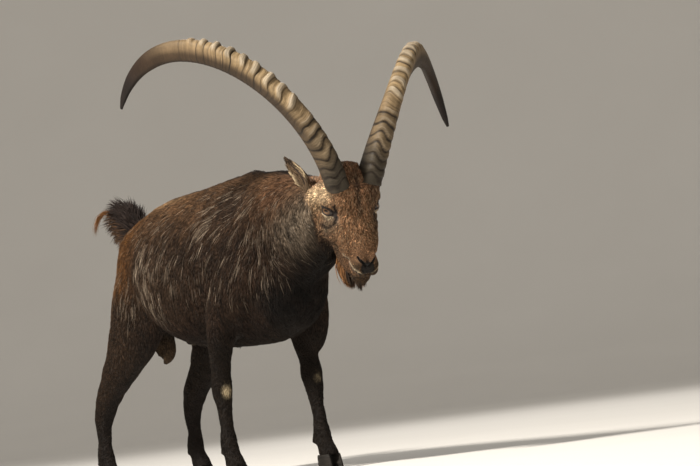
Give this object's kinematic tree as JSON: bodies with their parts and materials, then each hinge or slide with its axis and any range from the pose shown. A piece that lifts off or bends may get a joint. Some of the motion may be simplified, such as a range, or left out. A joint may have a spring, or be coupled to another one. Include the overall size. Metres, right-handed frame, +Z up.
{
  "type": "alpine ibex",
  "caption": "Grown male wild goat with long ridged horns curving back and outwards, a dark coat, a raised tuft of a tail and a short beard, standing still with its head held low.",
  "frame": {"origin": "middle of the outline box, on the floor that the hooves stand on", "axes": "+Z up, -Y the way the animal faces, -X its right side, which is the side the camera sees"},
  "size_m": [0.8874, 1.3948, 1.1667],
  "materials": {
    "dark_coat": "matt hair",
    "face_coat": "short matt hair",
    "horn": "dry ridged horn",
    "eye": "wet gloss",
    "hoof": "dull horn",
    "tail_hair": "coarse hair",
    "beard_hair": "coarse hair"
  },
  "bodies": {
    "root": {"torso": "dark_coat", "neck": "dark_coat", "foreleg_left": "dark_coat", "foreleg_right": "dark_coat", "hindleg_left": "dark_coat", "hindleg_right": "dark_coat", "head": "face_coat", "ear_left": "face_coat", "ear_right": "face_coat", "horn_left": "horn", "horn_right": "horn", "eye_left": "eye", "eye_right": "eye", "claw_fore_left_left": "hoof", "claw_fore_left_right": "hoof", "claw_fore_right_left": "hoof", "claw_fore_right_right": "hoof", "claw_hind_left_left": "hoof", "claw_hind_left_right": "hoof", "claw_hind_right_left": "hoof", "claw_hind_right_right": "hoof", "tail": "tail_hair", "beard": "beard_hair"}
  },
  "joints": []
}
